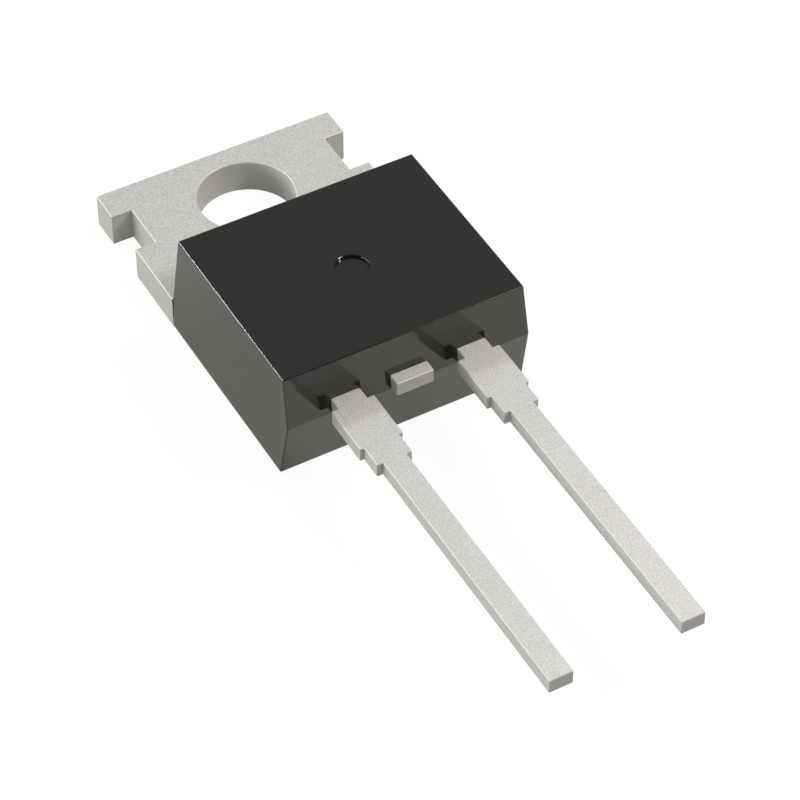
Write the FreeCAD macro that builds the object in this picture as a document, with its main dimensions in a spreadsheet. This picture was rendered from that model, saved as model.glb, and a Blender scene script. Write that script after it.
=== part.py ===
import FreeCAD, Part
import os
import re
import Sketcher

# A two-lead power diode in a flat plastic package with a metal mounting tab.
# Millimetres. The origin is on the mounting hole's axis, in the plane of the bare metal back.
# +X runs across the package, +Y towards the tab's free end, +Z out of the front face.

# Driving dimensions, one row of the sheet each. Angles are in degrees.
SIZES = {
    # Thick half of the strip: the mounting tab and the plate that it turns into
    "tab_thickness": 1.40,
    "tab_width": 9.97,
    "hole_diameter": 3.79,
    "hole_to_tab_end": 2.76,
    "ear_length": 1.32,
    "neck_length": 2.03,
    "neck_width": 8.30,
    "plate_width": 8.80,
    "lock_ledge": 0.20,
    "lock_height": 0.50,
    "groove_width": 0.60,
    "groove_depth": 0.22,
    "groove_to_mould": 0.75,
    "tab_corner": 0.03,
    "tab_edge_bevel": 0.03,
    # Thin half of the strip: the lifted post with its cut stub, the bridge and both leads
    "lead_gauge": 0.58,
    "lead_lift": 2.60,
    "lead_pitch": 5.08,
    "joggle_angle": 60.0,
    "joggle_foot": 0.20,
    "joggle_head": 0.20,
    "joggle_bend": 0.20,
    "post_width": 1.60,
    "stub_width": 1.49,
    "stub_reach": 0.40,
    "bridge_width": 0.90,
    "landing_width": 2.60,
    "landing_length": 1.90,
    "landing_cover": 0.66,
    "lock_hole_diameter": 0.60,
    "lock_hole_inset": 0.50,
    "root_width": 1.15,
    "root_reach": 0.44,
    "shoulder_width": 1.69,
    "shoulder_length": 2.07,
    "step_width": 1.38,
    "step_length": 0.93,
    "lead_width": 0.92,
    "lead_length": 11.06,
    "lead_corner": 0.03,
    "lead_edge_bevel": 0.025,
    # Moulding
    "hole_to_mould": 3.66,
    "mould_length": 9.00,
    "mould_width": 9.97,
    "mould_height": 4.69,
    "side_draft": 1.83,
    "back_draft": 9.5,
    "front_draft_upper": 9.7,
    "front_draft_lower": 11.3,
    "mould_edge_round": 0.05,
    "dimple_diameter": 1.27,
    "dimple_depth": 0.13,
    "dimple_to_hole": 8.46,
    "dimple_edge_round": 0.07,
    # Chip, the solder under it and the two wires from its top
    "die_side": 3.00,
    "die_thickness": 0.30,
    "die_bevel": 0.12,
    "die_inset": 0.55,
    "solder_thickness": 0.06,
    "solder_margin": 0.12,
    "wire_diameter": 0.38,
    "wire_spacing": 1.10,
    "wire_foot_length": 0.75,
    "wire_foot_height": 0.24,
    "wire_foot_sink": 0.07,
    "wire_wedge_length": 0.45,
    "wire_start_inset": 0.85,
    "wire_end_inset": 0.95,
    "wire_rise": 0.50,
    "wire_crest_share": 0.50,
    "wire_heel_bend": 0.40,
    "wire_crest_bend": 0.60,
}

# Places along Y, from the mounting hole's axis
TAB_END = "hole_to_tab_end"
EAR_FOOT = f"({TAB_END} - ear_length)"
NECK_FOOT = f"({EAR_FOOT} - neck_length)"
MOULD_BACK = "(0 - hole_to_mould)"
GROOVE = f"({MOULD_BACK} - groove_to_mould)"
PARTING_FRONT = f"({MOULD_BACK} - mould_length)"
LANDING_FRONT = f"({PARTING_FRONT} + landing_cover)"
LANDING_BACK = f"({LANDING_FRONT} + landing_length)"
BRIDGE_BACK = f"({LANDING_FRONT} + bridge_width)"
STUB_END = f"({PARTING_FRONT} - stub_reach)"
ROOT_END = f"({PARTING_FRONT} - root_reach)"
SHOULDER_END = f"({ROOT_END} - shoulder_length)"
STEP_END = f"({SHOULDER_END} - step_length)"
LEAD_TIP = f"({STEP_END} - lead_length)"

# The ramp between the plate and the thin strip, worked back from the bridge
RAMP_RISE = "(lead_lift + lead_gauge - tab_thickness)"
RAMP_RUN = f"({RAMP_RISE} / tan(joggle_angle * 1 deg))"
MITRE = "(lead_gauge * tan(joggle_angle * 0.5 deg))"
HEAD_UNDER = f"({BRIDGE_BACK} + joggle_head)"
HEAD_TOP = f"({HEAD_UNDER} + {MITRE})"
FOOT_TOP = f"({HEAD_TOP} + {RAMP_RUN})"
FOOT_UNDER = f"({FOOT_TOP} - {MITRE})"
PLATE_END = f"({FOOT_TOP} + joggle_foot)"

# Places along X, from the middle of the package
CATHODE = "(0 - lead_pitch / 2)"
ANODE = "(lead_pitch / 2)"

# Heights above the bare back
LEAD_TOP = "(lead_lift + lead_gauge)"
SOLDER_TOP = "(tab_thickness + solder_thickness)"
DIE_TOP = f"({SOLDER_TOP} + die_thickness)"

# The chip's middle, and where both wires start on it and end on the anode's landing
DIE = f"({PLATE_END} + die_inset + die_side / 2)"
WIRE_START = f"({DIE} + die_side / 2 - wire_start_inset)"
WIRE_END = f"({LANDING_BACK} - wire_end_inset)"
WIRE_SPAN = f"sqrt({ANODE} ^ 2 + ({WIRE_END} - {WIRE_START}) ^ 2)"

# How near two places are when they count as the same one
NEAR = 1e-4

doc = FreeCAD.newDocument("power_diode")
sheet = doc.addObject("Spreadsheet::Sheet", "sizes")
for row, (alias, size) in enumerate(SIZES.items(), start=1):
    sheet.set(f"A{row}", alias)
    sheet.set(f"B{row}", str(size))
    sheet.setAlias(f"B{row}", alias)
doc.recompute()


# Formulas

def on_sheet(text):
    """The same formula with each size written as its cell in the sheet."""
    return re.sub(r"[a-z]+(_[a-z]+)+", r"sizes.\g<0>", text)


def value(text):
    """What a formula comes to with the sheet as it is."""
    return float(sheet.evalExpression(on_sheet(text)))


def bind(thing, path, text):
    thing.setExpression(path, on_sheet(text))


# Sketches

def new_body(label):
    body = doc.addObject("PartDesign::Body", label)
    body.Label = label
    return body


def new_sketch(body, name, plane, height="0"):
    """An empty sketch on one of the body's own planes, or at a height over it."""
    sketch = body.newObject("Sketcher::SketchObject", name)
    support = next(item for item in body.Origin.OriginFeatures if item.Role == plane)
    sketch.AttachmentSupport = [(support, "")]
    sketch.MapMode = "FlatFace"
    bind(sketch, "AttachmentOffset.Base.z", height)
    return sketch


def constrain(sketch, kind, where, text):
    """Adds one measured constraint and binds it to a formula."""
    index = sketch.addConstraint(Sketcher.Constraint(kind, *where, value(text)))
    bind(sketch, f"Constraints[{index}]", text)


def pin(sketch, piece, point, across, along):
    """Ties a point to its two distances from the sketch's origin."""
    constrain(sketch, "DistanceX", (-1, 1, piece, point), across)
    constrain(sketch, "DistanceY", (-1, 1, piece, point), along)


def draw_lines(sketch, corners, closed=True):
    """Lines from corner to corner: (across, along), or with a bend radius as a third entry."""
    first = sketch.GeometryCount
    places = [FreeCAD.Vector(value(corner[0]), value(corner[1])) for corner in corners]
    ends = places[1:] + places[:1] if closed else places[1:]
    lines = range(first, first + len(ends))
    for line, here, there in zip(lines, places, ends):
        sketch.addGeometry(Part.LineSegment(here, there))
        if line > first:
            sketch.addConstraint(Sketcher.Constraint("Coincident", line - 1, 2, line, 1))
    if closed:
        sketch.addConstraint(Sketcher.Constraint("Coincident", lines[-1], 2, first, 1))
    else:
        pin(sketch, lines[-1], 2, corners[-1][0], corners[-1][1])
    for line, corner in zip(lines, corners):
        pin(sketch, line, 1, corner[0], corner[1])
    for before, after, corner in zip([lines[-1], *lines], lines, corners):
        if len(corner) == 3:
            draw_bend(sketch, before, after, corner[2])


def draw_bend(sketch, before, after, radius):
    """Turns the corner between two lines into an arc that both run into."""
    pieces = [sketch.Geometry[line] for line in (before, after)]
    middles = [(piece.StartPoint + piece.EndPoint) * 0.5 for piece in pieces]
    sketch.fillet(before, after, *middles, value(radius), True, True)
    arc = sketch.GeometryCount - 2
    constrain(sketch, "Radius", (arc,), radius)


def draw_circle(sketch, across, along, diameter):
    centre = FreeCAD.Vector(value(across), value(along))
    round_line = Part.Circle(centre, FreeCAD.Vector(0, 0, 1), value(diameter) / 2)
    circle = sketch.addGeometry(round_line)
    pin(sketch, circle, 3, across, along)
    constrain(sketch, "Diameter", (circle,), diameter)


def rectangle(low_across, low_along, high_across, high_along):
    return [
        (low_across, low_along),
        (high_across, low_along),
        (high_across, high_along),
        (low_across, high_along),
    ]


def both_sides(right_side):
    """A closed outline from its right half, written from top to bottom."""
    left_side = [(f"0 - ({across})", *rest) for across, *rest in reversed(right_side)]
    return right_side + left_side


# Features

def pad(body, sketch, name, length, symmetric=False):
    feature = body.newObject("PartDesign::Pad", name)
    feature.Profile = sketch
    feature.SideType = "Symmetric" if symmetric else "One side"
    bind(feature, "Length", length)
    doc.recompute()
    return feature


def pocket(body, sketch, name, depth, upwards=False, symmetric=False):
    """Cuts a sketch out of the body, and makes sure that it has cut something."""
    before = body.Shape.Volume
    feature = body.newObject("PartDesign::Pocket", name)
    feature.Profile = sketch
    feature.SideType = "Symmetric" if symmetric else "One side"
    feature.Reversed = upwards
    bind(feature, "Length", depth)
    doc.recompute()
    if body.Shape.Volume >= before:
        raise ValueError(f"{name} cuts nothing")
    return feature


def edges_where(body, chosen):
    """Names of the body's edges whose bounding box passes the test."""
    edges = enumerate(body.Shape.Edges, start=1)
    return [f"Edge{number}" for number, edge in edges if chosen(edge.BoundBox)]


def round_off(body, name, radius, chosen):
    feature = body.newObject("PartDesign::Fillet", name)
    feature.Base = (feature.BaseFeature, edges_where(body, chosen))
    bind(feature, "Radius", radius)
    doc.recompute()
    return feature


def bevel(body, name, size, chosen):
    feature = body.newObject("PartDesign::Chamfer", name)
    feature.Base = (feature.BaseFeature, edges_where(body, chosen))
    bind(feature, "Size", size)
    doc.recompute()
    return feature


# The strip's outline

def lead_outline(middle):
    """Down the left edge of a lead from inside the moulding to its tip, and up the right."""
    lengths = [
        ("root_width", LANDING_FRONT, ROOT_END),
        ("shoulder_width", ROOT_END, SHOULDER_END),
        ("step_width", SHOULDER_END, STEP_END),
        ("lead_width", STEP_END, LEAD_TIP),
    ]
    outer_corners = [
        ("shoulder_width", ROOT_END),
        ("shoulder_width", SHOULDER_END),
        ("step_width", STEP_END),
        ("lead_width", LEAD_TIP),
    ]
    left = []
    right = []
    for width, start, end in lengths:
        for along in (start, end):
            bend = ("lead_corner",) if (width, along) in outer_corners else ()
            left.append((f"{middle} - {width} / 2", along, *bend))
            right.append((f"{middle} + {width} / 2", along, *bend))
    return left + right[::-1]


def soften_leads(body):
    """Takes the sharpness off the front face's rim, where the punch entered, outside the landing."""
    top = value(LEAD_TOP)
    front = value(LANDING_FRONT)

    def rim(box):
        return box.ZMin > top - NEAR and box.YMin < front - NEAR and box.YMax < front + NEAR

    bevel(body, "lead_edges", "lead_edge_bevel", rim)


# Thick plate, lifted post, bridge and cathode lead, stamped from one strip

def make_tab_and_cathode_lead():
    body = new_body("tab_and_cathode_lead")

    thin = new_sketch(body, "thin_outline", "XY_Plane", "lead_lift")
    bridge_end = f"{CATHODE} - landing_width / 2"
    draw_lines(thin, [
        ("post_width / 2", BRIDGE_BACK),
        (bridge_end, BRIDGE_BACK),
        (bridge_end, LANDING_FRONT),
        *lead_outline(CATHODE),
        ("0 - stub_width / 2", LANDING_FRONT),
        ("0 - stub_width / 2", STUB_END, "lead_corner"),
        ("stub_width / 2", STUB_END, "lead_corner"),
        ("stub_width / 2", LANDING_FRONT),
        ("post_width / 2", LANDING_FRONT),
    ])
    pad(body, thin, "bridge_and_lead", "lead_gauge")
    soften_leads(body)

    ramp = new_sketch(body, "ramp_profile", "YZ_Plane")
    inside_bridge = f"{BRIDGE_BACK} - bridge_width / 2"
    inside_plate = f"{PLATE_END} + lead_gauge"
    outer_bend = "joggle_bend + lead_gauge"
    draw_lines(ramp, [
        (inside_plate, "tab_thickness"),
        (FOOT_TOP, "tab_thickness", "joggle_bend"),
        (HEAD_TOP, LEAD_TOP, outer_bend),
        (inside_bridge, LEAD_TOP),
        (inside_bridge, "lead_lift"),
        (HEAD_UNDER, "lead_lift", "joggle_bend"),
        (FOOT_UNDER, "tab_thickness - lead_gauge", outer_bend),
        (inside_plate, "tab_thickness - lead_gauge"),
    ])
    pad(body, ramp, "lifted_post", "post_width", symmetric=True)

    plate = new_sketch(body, "plate_outline", "XY_Plane")
    draw_lines(plate, both_sides([
        ("tab_width / 2", TAB_END, "tab_corner"),
        ("tab_width / 2", EAR_FOOT, "tab_corner"),
        ("neck_width / 2", EAR_FOOT),
        ("neck_width / 2", NECK_FOOT),
        ("tab_width / 2", NECK_FOOT, "tab_corner"),
        ("tab_width / 2", MOULD_BACK),
        ("plate_width / 2", MOULD_BACK),
        ("plate_width / 2", PLATE_END),
    ]))
    pad(body, plate, "plate", "tab_thickness")

    hole = new_sketch(body, "hole_outline", "XY_Plane")
    draw_circle(hole, "0", "0", "hole_diameter")
    pocket(body, hole, "mounting_hole", "tab_thickness", upwards=True)

    top = value("tab_thickness")
    mould_back = value(MOULD_BACK)

    def bare_rim(box):
        return abs(box.ZMin - top) < NEAR and box.ZLength < NEAR and box.YMax > mould_back + NEAR

    bevel(body, "tab_edges", "tab_edge_bevel", bare_rim)

    ledge = new_sketch(body, "ledge_outline", "XY_Plane")
    outside = "plate_width / 2 + lock_ledge"
    inside = "plate_width / 2 - lock_ledge"
    draw_lines(ledge, both_sides([
        (inside, f"{PLATE_END} + lock_ledge"),
        (inside, MOULD_BACK),
        (outside, MOULD_BACK),
        (outside, f"{PLATE_END} - lock_ledge"),
    ]))
    pocket(body, ledge, "lock_ledge", "lock_height", upwards=True)

    groove = new_sketch(body, "groove_profile", "YZ_Plane")
    draw_lines(groove, [
        (f"{GROOVE} - groove_width / 2", "tab_thickness"),
        (GROOVE, "tab_thickness - groove_depth"),
        (f"{GROOVE} + groove_width / 2", "tab_thickness"),
    ])
    pocket(body, groove, "moisture_groove", "plate_width", symmetric=True)
    return body


# Anode lead: the same outline outside, a wide landing for the wires inside

def make_anode_lead():
    body = new_body("anode_lead")
    outline = new_sketch(body, "thin_outline", "XY_Plane", "lead_lift")
    left = f"{ANODE} - landing_width / 2"
    right = f"{ANODE} + landing_width / 2"
    draw_lines(outline, [
        (right, LANDING_BACK),
        (left, LANDING_BACK),
        (left, LANDING_FRONT),
        *lead_outline(ANODE),
        (right, LANDING_FRONT),
    ])
    pad(body, outline, "landing_and_lead", "lead_gauge")
    hole = new_sketch(body, "lock_hole_outline", "XY_Plane", "lead_lift")
    draw_circle(hole, ANODE, f"{LANDING_FRONT} + lock_hole_inset", "lock_hole_diameter")
    pocket(body, hole, "lock_hole", "lead_gauge", upwards=True)
    soften_leads(body)
    return body


# Chip and the solder that holds it to the plate

def square_about_die(side):
    """A square in plan around the chip's middle, from half its side."""
    return rectangle(f"0 - {side}", f"{DIE} - {side}", side, f"{DIE} + {side}")


def make_die_solder():
    body = new_body("die_solder")
    foot = new_sketch(body, "foot_outline", "XY_Plane", "tab_thickness")
    draw_lines(foot, square_about_die("(die_side / 2 + solder_margin)"))
    head = new_sketch(body, "head_outline", "XY_Plane", SOLDER_TOP)
    draw_lines(head, square_about_die("(die_side / 2)"))
    layer = body.newObject("PartDesign::AdditiveLoft", "layer")
    layer.Profile = foot
    layer.Sections = [head]
    layer.Ruled = True
    doc.recompute()
    return body


def make_diode_die():
    body = new_body("diode_die")
    outline = new_sketch(body, "die_outline", "XY_Plane", SOLDER_TOP)
    draw_lines(outline, square_about_die("(die_side / 2)"))
    pad(body, outline, "silicon", "die_thickness")
    top = value(DIE_TOP)
    bevel(body, "top_bevel", "die_bevel", lambda box: box.ZMin > top - NEAR)
    return body


# Bond wires: round wire with both ends squashed flat where the tool pressed them down

def make_anode_wire(label, side):
    """One wire in its own upright plane, which stands along the line from chip to landing."""
    body = new_body(label)
    start_across = f"{side} * wire_spacing / 2"
    bind(body, "Placement.Base.x", start_across)
    bind(body, "Placement.Base.y", WIRE_START)
    bind(body, "Placement.Rotation.Angle", f"atan(({WIRE_END} - {WIRE_START}) / {ANODE})")

    squash = "(wire_diameter / 2 - wire_foot_sink)"
    start_height = f"{DIE_TOP} + {squash}"
    end_height = f"{LEAD_TOP} + {squash}"
    crest = f"(wire_crest_share * {WIRE_SPAN})"
    path = new_sketch(body, "wire_path", "XZ_Plane")
    draw_lines(path, [
        ("0", start_height),
        ("wire_foot_length", start_height, "wire_heel_bend"),
        (crest, f"{LEAD_TOP} + wire_rise", "wire_crest_bend"),
        (f"{WIRE_SPAN} - wire_foot_length", end_height, "wire_crest_bend"),
        (WIRE_SPAN, end_height),
    ], closed=False)
    section = new_sketch(body, "wire_section", "YZ_Plane")
    draw_circle(section, "0", start_height, "wire_diameter")
    wire = body.newObject("PartDesign::AdditivePipe", "wire")
    wire.Profile = section
    wire.Spine = path
    doc.recompute()

    before = "0 - wire_diameter"
    beyond = f"{WIRE_SPAN} + wire_diameter"
    presses = new_sketch(body, "press_marks", "XZ_Plane")
    draw_lines(presses, rectangle(before, f"{DIE_TOP} - wire_diameter", crest, DIE_TOP))
    draw_lines(presses, rectangle(crest, f"{LEAD_TOP} - wire_diameter", beyond, LEAD_TOP))
    draw_lines(presses, rectangle(
        before, f"{DIE_TOP} + wire_foot_height",
        "wire_wedge_length", f"{DIE_TOP} + wire_diameter"))
    draw_lines(presses, rectangle(
        f"{WIRE_SPAN} - wire_wedge_length", f"{LEAD_TOP} + wire_foot_height",
        beyond, f"{LEAD_TOP} + wire_diameter"))
    pocket(body, presses, "wedge_feet", "2 * wire_diameter", symmetric=True)
    return body


# Moulding: a drafted block with a pin mark, closed round everything that it holds

def make_mould_blank():
    body = new_body("mould_blank")
    profile = new_sketch(body, "side_profile", "YZ_Plane")
    back_slope = "(mould_height - tab_thickness) * tan(back_draft * 1 deg)"
    upper_slope = "(mould_height - lead_lift) * tan(front_draft_upper * 1 deg)"
    lower_slope = "lead_lift * tan(front_draft_lower * 1 deg)"
    draw_lines(profile, [
        (MOULD_BACK, "0"),
        (MOULD_BACK, "tab_thickness"),
        (f"{MOULD_BACK} - {back_slope}", "mould_height"),
        (f"{PARTING_FRONT} + {upper_slope}", "mould_height"),
        (PARTING_FRONT, "lead_lift"),
        (f"{PARTING_FRONT} + {lower_slope}", "0"),
    ])
    pad(body, profile, "block", "mould_width", symmetric=True)

    slopes = new_sketch(body, "side_slopes", "XZ_Plane")
    foot = "mould_width / 2"
    head = "mould_width / 2 - mould_height * tan(side_draft * 1 deg)"
    clear = "mould_width"
    for side in ("", "0 - "):
        draw_lines(slopes, [
            (f"{side}({foot})", "0"),
            (f"{side}({clear})", "0"),
            (f"{side}({clear})", "mould_height"),
            (f"{side}({head})", "mould_height"),
        ])
    pocket(body, slopes, "side_drafts", "3 * (hole_to_mould + mould_length)", symmetric=True)

    back = value(MOULD_BACK)
    crease = value(PARTING_FRONT)

    def outer_edge(box):
        at_back_foot = box.YMin > back - NEAR
        along_crease = box.YMax < crease + NEAR
        return not at_back_foot and not along_crease

    round_off(body, "mould_edges", "mould_edge_round", outer_edge)

    mark = new_sketch(body, "dimple_outline", "XY_Plane", "mould_height")
    draw_circle(mark, "0", "0 - dimple_to_hole", "dimple_diameter")
    pocket(body, mark, "dimple", "dimple_depth")
    top = value("mould_height")
    reach = value("dimple_diameter") / 2 + NEAR

    def dimple_rim(box):
        return box.ZMin > top - NEAR and box.XLength < 2 * reach and box.YLength < 2 * reach

    round_off(body, "dimple_edge", "dimple_edge_round", dimple_rim)
    return body


def make_mould_body(held):
    blank = make_mould_blank()
    inside = doc.addObject("Part::MultiFuse", "held_pieces")
    inside.Shapes = held
    mould = doc.addObject("Part::Cut", "mould_body")
    mould.Base = blank
    mould.Tool = inside
    mould.Label = "mould_body"
    doc.recompute()
    return mould


strip = make_tab_and_cathode_lead()
anode = make_anode_lead()
solder = make_die_solder()
die = make_diode_die()
wires = [
    make_anode_wire("anode_wire_left", "-1"),
    make_anode_wire("anode_wire_right", "1"),
]
metal_and_chip = [strip, anode, solder, die, *wires]
mould = make_mould_body(metal_and_chip)

for item in doc.Objects:
    if "Invalid" in item.State or "Error" in item.State:
        raise ValueError(f"{item.Label} could not be made: {item.State}")
pieces = [mould, *metal_and_chip]
for piece in pieces:
    shape = piece.Shape
    if shape.isNull() or not shape.isValid() or len(shape.Solids) != 1:
        raise ValueError(f"{piece.Label} is not one sound solid")

os.makedirs("parts", exist_ok=True)
for piece in pieces:
    piece.Shape.exportStep(f"parts/{piece.Label}.step")
    print(f"{piece.Label}: {piece.Shape.Volume:.3f} mm3")
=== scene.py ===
# %% [markdown]
# # A power diode on a white table
# The object is a power diode in a flat tab package: a dark moulded block, a bare metal tab with a mounting
# hole, and two flat leads. Its shapes come finished from CAD, so this lesson is about the other half of a good
# picture: a camera that stands where the photographer stood, light that draws every edge, and materials that
# have the real thing's grain and gloss.
#
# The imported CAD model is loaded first. Each of its nodes is already at its place in metres, so nothing is moved.
# Everything is deselected at once, because the loader leaves the nodes selected and an operator acts on them.

# %% Load the CAD frame
import math

import bpy
from mathutils import Matrix, Vector


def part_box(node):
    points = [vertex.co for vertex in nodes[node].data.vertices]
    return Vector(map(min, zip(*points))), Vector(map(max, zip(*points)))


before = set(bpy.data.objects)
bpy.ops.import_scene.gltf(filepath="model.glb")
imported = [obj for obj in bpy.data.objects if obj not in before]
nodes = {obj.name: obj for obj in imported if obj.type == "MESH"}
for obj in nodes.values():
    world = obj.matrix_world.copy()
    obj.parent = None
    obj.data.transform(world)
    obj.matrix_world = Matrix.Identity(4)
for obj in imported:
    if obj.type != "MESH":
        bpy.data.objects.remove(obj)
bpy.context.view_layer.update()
bpy.ops.object.select_all(action="DESELECT")
print("loaded", sorted(nodes))

# %% [markdown]
# ## The camera
# The photograph was taken from the front left, about 46 degrees above the table, with a long lens: its parallel
# edges hardly meet. One could turn a camera by hand until it looks right. Here its place was worked out from the
# corners of the block instead, so that the picture and the photograph can be laid over each other. A camera looks
# along its own -Z, with +X to the right of the picture, so three directions make its whole matrix.

# %% Place the camera
MM = 0.001
CAMERA_EYE = Vector((-39.888, -83.353, 85.590)) * MM
CAMERA_FORWARD = Vector((0.33896, 0.60690, -0.71887)).normalized()
PICTURE_RIGHT = Vector((0.87243, -0.48874, -0.00124)).normalized()
LENS_MM = 147.69
SENSOR_MM = 36.0
CLIP_NEAR = 5.0 * MM
CLIP_FAR = 10000.0 * MM

bpy.ops.object.camera_add()
camera = bpy.context.object
camera.name = "photo_camera"
picture_up = PICTURE_RIGHT.cross(CAMERA_FORWARD).normalized()
turn = Matrix((PICTURE_RIGHT, picture_up, -CAMERA_FORWARD)).transposed()
camera.matrix_world = Matrix.Translation(CAMERA_EYE) @ turn.to_4x4()
camera.data.sensor_fit = "HORIZONTAL"
camera.data.sensor_width = SENSOR_MM
camera.data.lens = LENS_MM
camera.data.clip_start = CLIP_NEAR
camera.data.clip_end = CLIP_FAR
bpy.context.scene.camera = camera
print("camera at", [round(x / MM, 1) for x in CAMERA_EYE], "mm, lens", LENS_MM, "mm")

# %% [markdown]
# ## Small helpers for node trees
# A procedural material is a graph. Written out in full, each node takes four or five lines, so a few short
# helpers keep the recipes readable. They add a node and fill in its sockets, join two sockets, start a node
# group, and write the two nodes that come up most: a sum or product, and a smooth step from one level to another.

# %% Helpers that add and join nodes
GRID_STEP = 220


def add_node(tree, kind, column, row, sockets=None, **settings):
    """Adds a node on a tidy grid, sets its own settings and the values of its unlinked sockets."""
    node = tree.nodes.new(kind)
    node.location = (column * GRID_STEP, -row * GRID_STEP)
    for name, setting in settings.items():
        setattr(node, name, setting)
    for name, number in (sockets or {}).items():
        node.inputs[name].default_value = number
    return node


def join(tree, source, target):
    """Joins an output socket to an input socket."""
    tree.links.new(source, target)


def new_group(name, inputs, outputs):
    """An empty shader node group: inputs as (name, default, lowest, highest), outputs as names."""
    tree = bpy.data.node_groups.new(name, "ShaderNodeTree")
    for label, default, lowest, highest in inputs:
        socket = tree.interface.new_socket(label, in_out="INPUT", socket_type="NodeSocketFloat")
        socket.default_value = default
        socket.min_value = lowest
        socket.max_value = highest
    for label in outputs:
        tree.interface.new_socket(label, in_out="OUTPUT", socket_type="NodeSocketFloat")
    return tree, tree.nodes.new("NodeGroupInput"), tree.nodes.new("NodeGroupOutput")


def add_math(tree, operation, first, second, column, row, clamp=False):
    """A Math node whose two operands are sockets or plain numbers; gives back its output socket."""
    node = add_node(tree, "ShaderNodeMath", column, row, operation=operation, use_clamp=clamp)
    for slot, operand in zip(node.inputs, (first, second)):
        if isinstance(operand, (int, float)):
            slot.default_value = operand
        else:
            join(tree, operand, slot)
    return node.outputs["Value"]


def add_range(tree, source, low, high, to_low, to_high, column, row):
    """A smooth Map Range node; gives back its output socket."""
    node = add_node(tree, "ShaderNodeMapRange", column, row, interpolation_type="SMOOTHSTEP")
    for name, number in (("From Min", low), ("From Max", high), ("To Min", to_low), ("To Max", to_high)):
        node.inputs[name].default_value = number
    join(tree, source, node.inputs["Value"])
    return node.outputs["Result"]


print("helpers ready")

# %% [markdown]
# ## The world
# The photograph has a plain white ground. White has a price: if the whole world lit the diode at full strength,
# every face would be equally bright and the block would look like paper. The Light Path node tells the rays
# apart. The camera's own rays find white. All other rays find a dim studio, darkest behind the
# photographer and paler behind the diode. In the photograph that shows on the block: its top mirrors
# the far side of the room and is a little lighter than its front upper edge, which mirrors the near side.

# %% Make the world
WHITE = (1.0, 1.0, 1.0, 1.0)
SOFT_LIGHT_NEAR = 0.19
SOFT_LIGHT_FAR = 0.70
SOFT_LIGHT_SPAN = (-1.0, 1.0)
MIRRORED_NEAR = 0.04
MIRRORED_FAR = 0.253
MIRRORED_SPAN = (-0.6, 0.7)

world = bpy.data.worlds.new("studio")
bpy.context.scene.world = world
world.use_nodes = True
sky = world.node_tree
sky.nodes.clear()
ray = add_node(sky, "ShaderNodeLightPath", 0, 2)
direction = add_node(sky, "ShaderNodeTexCoord", 0, 0)
split = add_node(sky, "ShaderNodeSeparateXYZ", 1, 0)
join(sky, direction.outputs["Generated"], split.inputs["Vector"])
soft_light = add_range(sky, split.outputs["Y"], *SOFT_LIGHT_SPAN, SOFT_LIGHT_NEAR, SOFT_LIGHT_FAR, 2, 0)
mirrored = add_range(sky, split.outputs["Y"], *MIRRORED_SPAN, MIRRORED_NEAR, MIRRORED_FAR, 2, 1)
shiny = add_math(sky, "MAXIMUM", ray.outputs["Is Glossy Ray"], ray.outputs["Is Transmission Ray"], 2, 2)
room = add_node(sky, "ShaderNodeMix", 3, 1, data_type="FLOAT")
join(sky, shiny, room.inputs["Factor"])
join(sky, soft_light, room.inputs["A"])
join(sky, mirrored, room.inputs["B"])
ground = add_node(sky, "ShaderNodeMix", 4, 1, data_type="FLOAT", sockets={"B": 1.0})
join(sky, ray.outputs["Is Camera Ray"], ground.inputs["Factor"])
join(sky, room.outputs["Result"], ground.inputs["A"])
backdrop = add_node(sky, "ShaderNodeBackground", 5, 1, sockets={"Color": WHITE})
join(sky, ground.outputs["Result"], backdrop.inputs["Strength"])
sky_out = add_node(sky, "ShaderNodeOutputWorld", 6, 1)
join(sky, backdrop.outputs["Background"], sky_out.inputs["Surface"])
print("world: white for the camera, soft light from", SOFT_LIGHT_NEAR, "to", SOFT_LIGHT_FAR)

# %% [markdown]
# ## The table
# The diode lies on its bare metal back, so the table runs right under that back. A real white table never shows
# as pure white, and the photograph's ground does. The same trick as in the world helps: for the camera and for
# reflections most of the table's brightness is its own, and a part is honest shading, which keeps a soft
# shadow under the leads and round the block. A plain emission everywhere would leave the diode floating.
#
# The polished block is a dark mirror, and in the photograph its left side mirrors a duller and its front a
# brighter stretch of table. So the table's glow in reflections carries painted shade and painted light: dim on the
# left of the block, full in front and on the right, with a short smooth step under the block, where nothing
# mirrors it.
#
# Two faces in exactly one plane can't be told apart by a ray, so the table lies a hair below the diode's back.
# Seen from beneath, the table is left clear for the camera, which then sees the back.

# %% Make the table
TABLE_SIDE = 3.0
TABLE_GAP = 0.02 * MM
TABLE_GREY_FOR_LIGHT = (0.42, 0.42, 0.42, 1.0)
TABLE_GREY_SEEN = (0.75, 0.75, 0.75, 1.0)
TABLE_GLOW_SEEN = 0.92
TABLE_GLOW_MIRRORED = 0.72
TABLE_WARMTH_MIRRORED = (1.0, 0.98, 0.88, 1.0)
TABLE_WHITE = 1.035
# painted shade and painted light in the table's glow for reflections, set by position across the table
PAINTED_SHADE_END_X = -5.0 * MM
PAINTED_LIGHT_START_X = -4.2 * MM
PAINTED_SHADE_GLOW = 0.60
PAINTED_LIGHT_GLOW = 0.96

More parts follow.
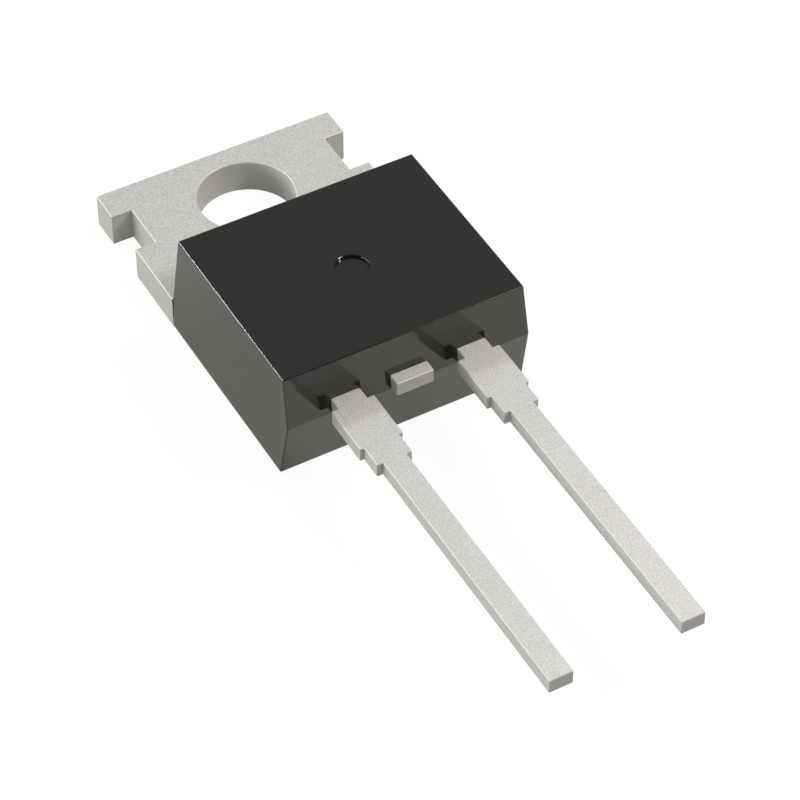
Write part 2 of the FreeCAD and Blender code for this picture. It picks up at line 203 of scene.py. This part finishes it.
bpy.ops.mesh.primitive_plane_add(size=TABLE_SIDE, location=(0.0, 0.0, -TABLE_GAP))
table = bpy.context.object
table.name = "table"
table_paint = bpy.data.materials.new("table_paint")
table_paint.use_nodes = True
board = table_paint.node_tree
board.nodes.clear()
ray = add_node(board, "ShaderNodeLightPath", 0, 0)
shiny = add_math(board, "MAXIMUM", ray.outputs["Is Glossy Ray"], ray.outputs["Is Transmission Ray"], 1, 0)
direct = add_math(board, "MAXIMUM", shiny, ray.outputs["Is Camera Ray"], 2, 0)
mirrored = add_math(board, "MULTIPLY", shiny, TABLE_GLOW_MIRRORED, 2, 1)
seen = add_math(board, "MULTIPLY", ray.outputs["Is Camera Ray"], TABLE_GLOW_SEEN, 2, 2)
share = add_math(board, "MAXIMUM", mirrored, seen, 3, 0)
shade = add_node(board, "ShaderNodeMix", 3, 1, data_type="RGBA")
shade.inputs["A"].default_value = TABLE_GREY_FOR_LIGHT
shade.inputs["B"].default_value = TABLE_GREY_SEEN
join(board, direct, shade.inputs["Factor"])
lit = add_node(board, "ShaderNodeBsdfDiffuse", 4, 1)
join(board, shade.outputs["Result"], lit.inputs["Color"])
warm = add_node(board, "ShaderNodeMix", 3, 2, data_type="RGBA")
warm.inputs["A"].default_value = WHITE
warm.inputs["B"].default_value = TABLE_WARMTH_MIRRORED
join(board, shiny, warm.inputs["Factor"])
spot = add_node(board, "ShaderNodeTexCoord", 0, 4)
plan = add_node(board, "ShaderNodeSeparateXYZ", 1, 4)
join(board, spot.outputs["Object"], plan.inputs["Vector"])
# painted shade: the glow that reflections see is dimmer left of the block and full in front and on the right
painted_shade_step = add_range(board, plan.outputs["X"], PAINTED_SHADE_END_X, PAINTED_LIGHT_START_X, PAINTED_SHADE_GLOW, PAINTED_LIGHT_GLOW, 4, 4)
level = add_node(board, "ShaderNodeMix", 5, 4, data_type="FLOAT", sockets={"A": TABLE_WHITE})
join(board, shiny, level.inputs["Factor"])
join(board, painted_shade_step, level.inputs["B"])
glow = add_node(board, "ShaderNodeEmission", 6, 2)
join(board, warm.outputs["Result"], glow.inputs["Color"])
join(board, level.outputs["Result"], glow.inputs["Strength"])
both = add_node(board, "ShaderNodeMixShader", 7, 1)
join(board, share, both.inputs["Fac"])
join(board, lit.outputs["BSDF"], both.inputs[1])
join(board, glow.outputs["Emission"], both.inputs[2])
side = add_node(board, "ShaderNodeNewGeometry", 5, 5)
beneath = add_math(board, "MULTIPLY", side.outputs["Backfacing"], ray.outputs["Is Camera Ray"], 6, 5)
clear = add_node(board, "ShaderNodeBsdfTransparent", 7, 3)
open_below = add_node(board, "ShaderNodeMixShader", 8, 1)
join(board, beneath, open_below.inputs["Fac"])
join(board, both.outputs["Shader"], open_below.inputs[1])
join(board, clear.outputs["BSDF"], open_below.inputs[2])
board_out = add_node(board, "ShaderNodeOutputMaterial", 9, 1)
join(board, open_below.outputs["Shader"], board_out.inputs["Surface"])
table.data.materials.append(table_paint)
print("table", TABLE_SIDE, "m wide,", TABLE_GAP / MM, "mm below the diode's back")

# %% [markdown]
# ## The lamps
# Lamps leave their mirror images on a glossy part, so their places can be read in the photograph. The bright
# line on the block's upper left edge comes from a small lamp behind on the left. The one on the right half of
# its upper front edge comes from a short strip high on the right. Straight above there is nothing, for there
# the round mark stays dark. A low strip on the left and a small lamp in front on the right give the cut walls
# and the lead roots their light. Each lamp was first rendered alone, to find the strengths whose sum comes
# nearest to the photograph. Where the metal then turned white from another side, its lamp came down again. A
# lamp is given by the direction in which it stands and by its radiance, since that is what a mirror image
# shows, and its power follows from its size.

# %% Make the lamps
LAMP_TARGET = Vector((0.0, -10.0, 2.0)) * MM


def soft_box(name, towards, distance, width, height, radiance, colour):
    """A rectangular area lamp that stands in a direction from the diode and looks at it."""
    away = Vector(towards).normalized()
    bpy.ops.object.light_add(type="AREA", location=LAMP_TARGET + away * distance)
    lamp = bpy.context.object
    lamp.name = name
    lamp.rotation_euler = away.to_track_quat("Z", "Y").to_euler()
    lamp.data.shape = "RECTANGLE"
    lamp.data.size = width
    lamp.data.size_y = height
    lamp.data.color = colour
    lamp.data.energy = radiance * math.pi * width * height
    lamp.visible_camera = False
    print(name, "at", [round(x, 3) for x in lamp.location], "power", round(lamp.data.energy, 3), "W")
    return lamp


COOL_LIGHT = (0.88, 0.92, 1.0)
WARM_LIGHT = (1.0, 0.97, 0.86)
BULB_LIGHT = (1.0, 0.93, 0.90)
soft_box(
    "left_lamp", towards=(-0.95, 0.28, 0.13), distance=0.40,
    width=0.40, height=0.07, radiance=7.9, colour=WARM_LIGHT,
)
soft_box(
    "back_left_bulb", towards=(-0.47, 0.655, 0.592), distance=0.39,
    width=0.057, height=0.057, radiance=43.0, colour=COOL_LIGHT,
)
soft_box(
    "right_lamp", towards=(0.483, -0.129, 0.866), distance=0.121,
    width=0.072, height=0.020, radiance=7.6, colour=WARM_LIGHT,
)
soft_box(
    "right_bulb", towards=(0.61, -0.33, 0.70), distance=0.088,
    width=0.016, height=0.016, radiance=40.0, colour=BULB_LIGHT,
)

# %% [markdown]
# ## Grain
# Seen through a lens, the plating isn't smooth: it has a fine even speckle, each grain about a twentieth of a
# millimetre. An image texture could show that, but it would need unwrapping and would blur up close. Noise in
# object coordinates has the right size everywhere, in millimetres. Several finishes need it, so it is a node group
# with named inputs: the size of a grain and how strongly it shows, and the same for larger clouds.

# %% Build the grain group
MM_PER_METRE = 1000.0
NOISE_SHAPE = {"Detail": 2.0, "Roughness": 0.55}
NOISE_MIDDLE = 0.5


def build_grain():
    tree, given, made = new_group(
        "grain",
        [
            ("Grain Size", 0.05, 0.001, 10.0),
            ("Grain Strength", 0.1, 0.0, 1.0),
            ("Cloud Size", 1.5, 0.001, 100.0),
            ("Cloud Strength", 0.05, 0.0, 1.0),
        ],
        ["Tint", "Height"],
    )
    place = add_node(tree, "ShaderNodeTexCoord", 0, 0)
    in_mm = add_node(tree, "ShaderNodeVectorMath", 1, 0, operation="SCALE", sockets={"Scale": MM_PER_METRE})
    join(tree, place.outputs["Object"], in_mm.inputs["Vector"])
    offsets = []
    for row, size, strength in ((0, "Grain Size", "Grain Strength"), (2, "Cloud Size", "Cloud Strength")):
        frequency = add_math(tree, "DIVIDE", 1.0, given.outputs[size], 1, row + 1)
        noise = add_node(tree, "ShaderNodeTexNoise", 2, row, sockets=NOISE_SHAPE)
        join(tree, in_mm.outputs["Vector"], noise.inputs["Vector"])
        join(tree, frequency, noise.inputs["Scale"])
        centred = add_math(tree, "SUBTRACT", noise.outputs["Fac"], NOISE_MIDDLE, 3, row)
        offsets.append(add_math(tree, "MULTIPLY", centred, given.outputs[strength], 4, row))
        if row == 0:
            join(tree, noise.outputs["Fac"], made.inputs["Height"])
    total = add_math(tree, "ADD", offsets[0], offsets[1], 5, 1)
    join(tree, add_math(tree, "ADD", total, 1.0, 6, 1), made.inputs["Tint"])
    return tree


grain = build_grain()
print("group", grain.name, "with", len(grain.nodes), "nodes")

# %% [markdown]
# ## Faces of stamped sheet
# Metal stamped from a strip has three kinds of skin. The rolled faces carry the grain. The walls were cut by a
# punch, so they are smoother and a little darker, and their darker tint is also painted shade. The rims between
# them are pressed round and burnished, and their brighter tint is also a painted highlight. On this part the
# rolled faces look up or down, so the height of the surface normal tells the three apart, without any painting by
# hand: small on a wall, nearly 1 on a rolled face, in between on a rim.

# %% Build the stamped sheet group
WALL_SPAN = (0.2, 0.4)
ROLLED_SPAN = (0.9, 0.98)


def build_stamped_faces():
    tree, _given, made = new_group("stamped_faces", [], ["Wall", "Rim"])
    surface = add_node(tree, "ShaderNodeNewGeometry", 0, 0)
    parts = add_node(tree, "ShaderNodeSeparateXYZ", 1, 0)
    join(tree, surface.outputs["True Normal"], parts.inputs["Vector"])
    lean = add_math(tree, "ABSOLUTE", parts.outputs["Z"], 0.0, 2, 0)
    wall = add_range(tree, lean, *WALL_SPAN, 1.0, 0.0, 3, 0)
    rolled = add_range(tree, lean, *ROLLED_SPAN, 0.0, 1.0, 3, 1)
    join(tree, wall, made.inputs["Wall"])
    not_rim = add_math(tree, "ADD", wall, rolled, 4, 1)
    join(tree, add_math(tree, "SUBTRACT", 1.0, not_rim, 5, 1, clamp=True), made.inputs["Rim"])
    return tree


stamped_faces = build_stamped_faces()
print("group", stamped_faces.name, "with", len(stamped_faces.nodes), "nodes")

# %% [markdown]
# ## A start for every material
# All finishes here are one Principled shader. What is the same all over a surface, such as the roughness of
# polished wire or the refractive index, is written straight on its sockets. What changes over the surface
# comes from the groups. This helper makes the shader and places a group in a material with its own values.

# %% Helpers for materials
def new_finish(name, sockets):
    """A material with one Principled shader, whose plain values are written on its sockets."""
    finish = bpy.data.materials.new(name)
    finish.use_nodes = True
    tree = finish.node_tree
    tree.nodes.clear()
    shader = add_node(tree, "ShaderNodeBsdfPrincipled", 6, 0, sockets)
    out = add_node(tree, "ShaderNodeOutputMaterial", 8, 0)
    join(tree, shader.outputs["BSDF"], out.inputs["Surface"])
    return finish, tree, shader


def place_group(tree, group, column, row, sockets=None):
    """Places a node group in a material and sets its inputs."""
    node = add_node(tree, "ShaderNodeGroup", column, row, node_tree=group)
    for name, number in (sockets or {}).items():
        node.inputs[name].default_value = number
    return node


def tinted(tree, colour, tint, column, row):
    """A plain colour times a tint that changes over the surface."""
    node = add_node(tree, "ShaderNodeMix", column, row, data_type="RGBA", blend_type="MULTIPLY")
    node.inputs["Factor"].default_value = 1.0
    node.inputs["A"].default_value = (*colour, 1.0)
    join(tree, tint, node.inputs["B"])
    return node.outputs["Result"]


def dress(node_name, finish):
    """Gives a CAD node its finish in every material slot that it has."""
    for slot in nodes[node_name].material_slots:
        slot.material = finish
    print(node_name, "wears", finish.name)


print("material helpers ready")

# %% [markdown]
# ## Moulded epoxy
# The block is epoxy filled with silica and soot. It was pressed into a polished steel mould, so it is almost
# black and has an even, fairly sharp gloss: its steep sides mirror the white table and look grey, while its
# top mirrors the dim ceiling and stays dark. A flat black with some gloss would do from afar. Up close the
# filler shows as a faint unevenness, and the gloss is a little different from place to place.

# %% Make the mould's finish
EPOXY_COLOUR = (0.013, 0.013, 0.012)
EPOXY_ROUGHNESS = 0.09
EPOXY_BUMP = {"Strength": 0.02, "Distance": 0.00001}

epoxy, tree, shader = new_finish("moulded_epoxy", {"IOR": 1.7, "Metallic": 0.0})
filler = place_group(
    tree, grain, 0, 0, {"Grain Size": 0.03, "Grain Strength": 0.10, "Cloud Size": 2.5, "Cloud Strength": 0.12}
)
join(tree, tinted(tree, EPOXY_COLOUR, filler.outputs["Tint"], 3, 0), shader.inputs["Base Color"])
gloss = add_math(tree, "MULTIPLY", filler.outputs["Tint"], EPOXY_ROUGHNESS, 3, 1)
join(tree, gloss, shader.inputs["Roughness"])
skin = add_node(tree, "ShaderNodeBump", 4, 2, sockets=EPOXY_BUMP)
join(tree, filler.outputs["Height"], skin.inputs["Height"])
join(tree, skin.outputs["Normal"], shader.inputs["Normal"])
dress("mould_body", epoxy)

# %% [markdown]
# ## Tin-plated strip
# The tab and both leads are copper under matt tin. Matt tin scatters light in all directions, nearly like
# paper, yet keeps a metal's glow at glancing angles, so the shader is only partly metallic and quite rough.
# The grain group gives the rolled faces their speckle, the stamped sheet group takes it off the cut walls. The
# walls' darker tint is partly the cut metal and partly painted shade, and the pressed rims' brighter tint is
# partly burnish and partly a painted highlight.

# %% Make the plating
TIN_COLOUR = (0.73, 0.73, 0.715)
WALL_EVENNESS = 0.9
WALL_TINT_AND_PAINTED_SHADE = 0.75
RIM_BURNISH_AND_PAINTED_HIGHLIGHT = 1.13
TIN_METALLIC = {"A": 0.60, "B": 0.15}
TIN_ROUGHNESS = {"A": 0.66, "B": 0.64}
TIN_BUMP = {"Strength": 0.25, "Distance": 0.00001}

tin, tree, shader = new_finish("matt_tin_plating", {"IOR": 1.5})
speckle = place_group(
    tree, grain, 0, 0, {"Grain Size": 0.055, "Grain Strength": 0.85, "Cloud Size": 1.2, "Cloud Strength": 0.08}
)
faces = place_group(tree, stamped_faces, 0, 2)
evened = add_math(tree, "MULTIPLY", faces.outputs["Wall"], WALL_EVENNESS, 1, 2)
# painted shade: the cut walls get a darker colour, partly their own and partly shade
wall_tint_and_shade = add_node(tree, "ShaderNodeMix", 2, 0, data_type="FLOAT", sockets={"B": WALL_TINT_AND_PAINTED_SHADE})
join(tree, evened, wall_tint_and_shade.inputs["Factor"])
join(tree, speckle.outputs["Tint"], wall_tint_and_shade.inputs["A"])
# painted highlight: the pressed rims get a brighter colour, partly burnish and partly highlight
rim_burnish_and_highlight = add_node(tree, "ShaderNodeMix", 3, 0, data_type="FLOAT", sockets={"B": RIM_BURNISH_AND_PAINTED_HIGHLIGHT})
join(tree, faces.outputs["Rim"], rim_burnish_and_highlight.inputs["Factor"])
join(tree, wall_tint_and_shade.outputs["Result"], rim_burnish_and_highlight.inputs["A"])
join(tree, tinted(tree, TIN_COLOUR, rim_burnish_and_highlight.outputs["Result"], 4, 0), shader.inputs["Base Color"])
# in both mixes below, A is the rolled face and B the cut wall
metal = add_node(tree, "ShaderNodeMix", 3, 1, data_type="FLOAT", sockets=TIN_METALLIC)
join(tree, faces.outputs["Wall"], metal.inputs["Factor"])
join(tree, metal.outputs["Result"], shader.inputs["Metallic"])
rough = add_node(tree, "ShaderNodeMix", 3, 2, data_type="FLOAT", sockets=TIN_ROUGHNESS)
join(tree, faces.outputs["Wall"], rough.inputs["Factor"])
join(tree, rough.outputs["Result"], shader.inputs["Roughness"])
skin = add_node(tree, "ShaderNodeBump", 4, 3, sockets=TIN_BUMP)
join(tree, speckle.outputs["Height"], skin.inputs["Height"])
join(tree, skin.outputs["Normal"], shader.inputs["Normal"])
for name in ("tab_and_cathode_lead", "anode_lead"):
    dress(name, tin)

# %% [markdown]
# ## What lies inside the block
# The chip, its solder and the two wires are closed in epoxy and no camera sees them. They still get their own
# finishes, because the model may be cut open or shown in parts. The chip's metallised top has a darker guard
# ring round its rim. The solder set dull and uneven. The wire was drawn through a polished die, so it is
# bright and only faintly grained.

# %% Make the finishes inside
SILICON_COLOUR = (0.45, 0.47, 0.50)
SILICON_ROUGHNESS = 0.22
GUARD_RING_WIDTH = 0.35 * MM
GUARD_RING_EDGE = 0.02 * MM
GUARD_RING_TINT = 0.45
SOLDER_COLOUR = (0.55, 0.55, 0.54)
SOLDER_ROUGHNESS = 0.42
WIRE_COLOUR = (0.80, 0.80, 0.81)
WIRE_ROUGHNESS = 0.28

silicon, tree, shader = new_finish("metallised_silicon", {"Metallic": 0.9})
faint = place_group(
    tree, grain, 0, 0, {"Grain Size": 0.02, "Grain Strength": 0.10, "Cloud Size": 0.8, "Cloud Strength": 0.05}
)
low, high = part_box("diode_die")
middle = (low + high) / 2
place = add_node(tree, "ShaderNodeTexCoord", 0, 2)
centre = add_node(tree, "ShaderNodeMapping", 1, 2)
centre.inputs["Location"].default_value = (-middle.x, -middle.y, 0.0)
join(tree, place.outputs["Object"], centre.inputs["Vector"])
axes = add_node(tree, "ShaderNodeSeparateXYZ", 2, 2)
join(tree, centre.outputs["Vector"], axes.inputs["Vector"])
across = add_math(tree, "ABSOLUTE", axes.outputs["X"], 0.0, 3, 2)
along = add_math(tree, "ABSOLUTE", axes.outputs["Y"], 0.0, 3, 3)
reach = add_math(tree, "MAXIMUM", across, along, 4, 2)
ring_start = (high.x - low.x) / 2 - GUARD_RING_WIDTH
ring = add_range(tree, reach, ring_start, ring_start + GUARD_RING_EDGE, 1.0, GUARD_RING_TINT, 5, 2)
shaded = add_math(tree, "MULTIPLY", faint.outputs["Tint"], ring, 3, 0)
join(tree, tinted(tree, SILICON_COLOUR, shaded, 4, 0), shader.inputs["Base Color"])
gloss = add_math(tree, "MULTIPLY", faint.outputs["Tint"], SILICON_ROUGHNESS, 4, 1)
join(tree, gloss, shader.inputs["Roughness"])
dress("diode_die", silicon)

solder, tree, shader = new_finish("dull_solder", {"Metallic": 1.0})
set_skin = place_group(
    tree, grain, 0, 0, {"Grain Size": 0.08, "Grain Strength": 0.35, "Cloud Size": 0.6, "Cloud Strength": 0.25}
)
join(tree, tinted(tree, SOLDER_COLOUR, set_skin.outputs["Tint"], 3, 0), shader.inputs["Base Color"])
gloss = add_math(tree, "MULTIPLY", set_skin.outputs["Tint"], SOLDER_ROUGHNESS, 3, 1)
join(tree, gloss, shader.inputs["Roughness"])
dress("die_solder", solder)

drawn, tree, shader = new_finish("drawn_aluminium", {"Metallic": 1.0})
wire_skin = place_group(
    tree, grain, 0, 0, {"Grain Size": 0.04, "Grain Strength": 0.25, "Cloud Size": 0.5, "Cloud Strength": 0.05}
)
join(tree, tinted(tree, WIRE_COLOUR, wire_skin.outputs["Tint"], 3, 0), shader.inputs["Base Color"])
gloss = add_math(tree, "MULTIPLY", wire_skin.outputs["Tint"], WIRE_ROUGHNESS, 3, 1)
join(tree, gloss, shader.inputs["Roughness"])
for name in ("anode_wire_left", "anode_wire_right"):
    dress(name, drawn)

# %% [markdown]
# ## Colour as it is written
# The Standard view shows a colour as it stands in the material.

# %% Set the view
bpy.context.scene.view_settings.view_transform = "Standard"
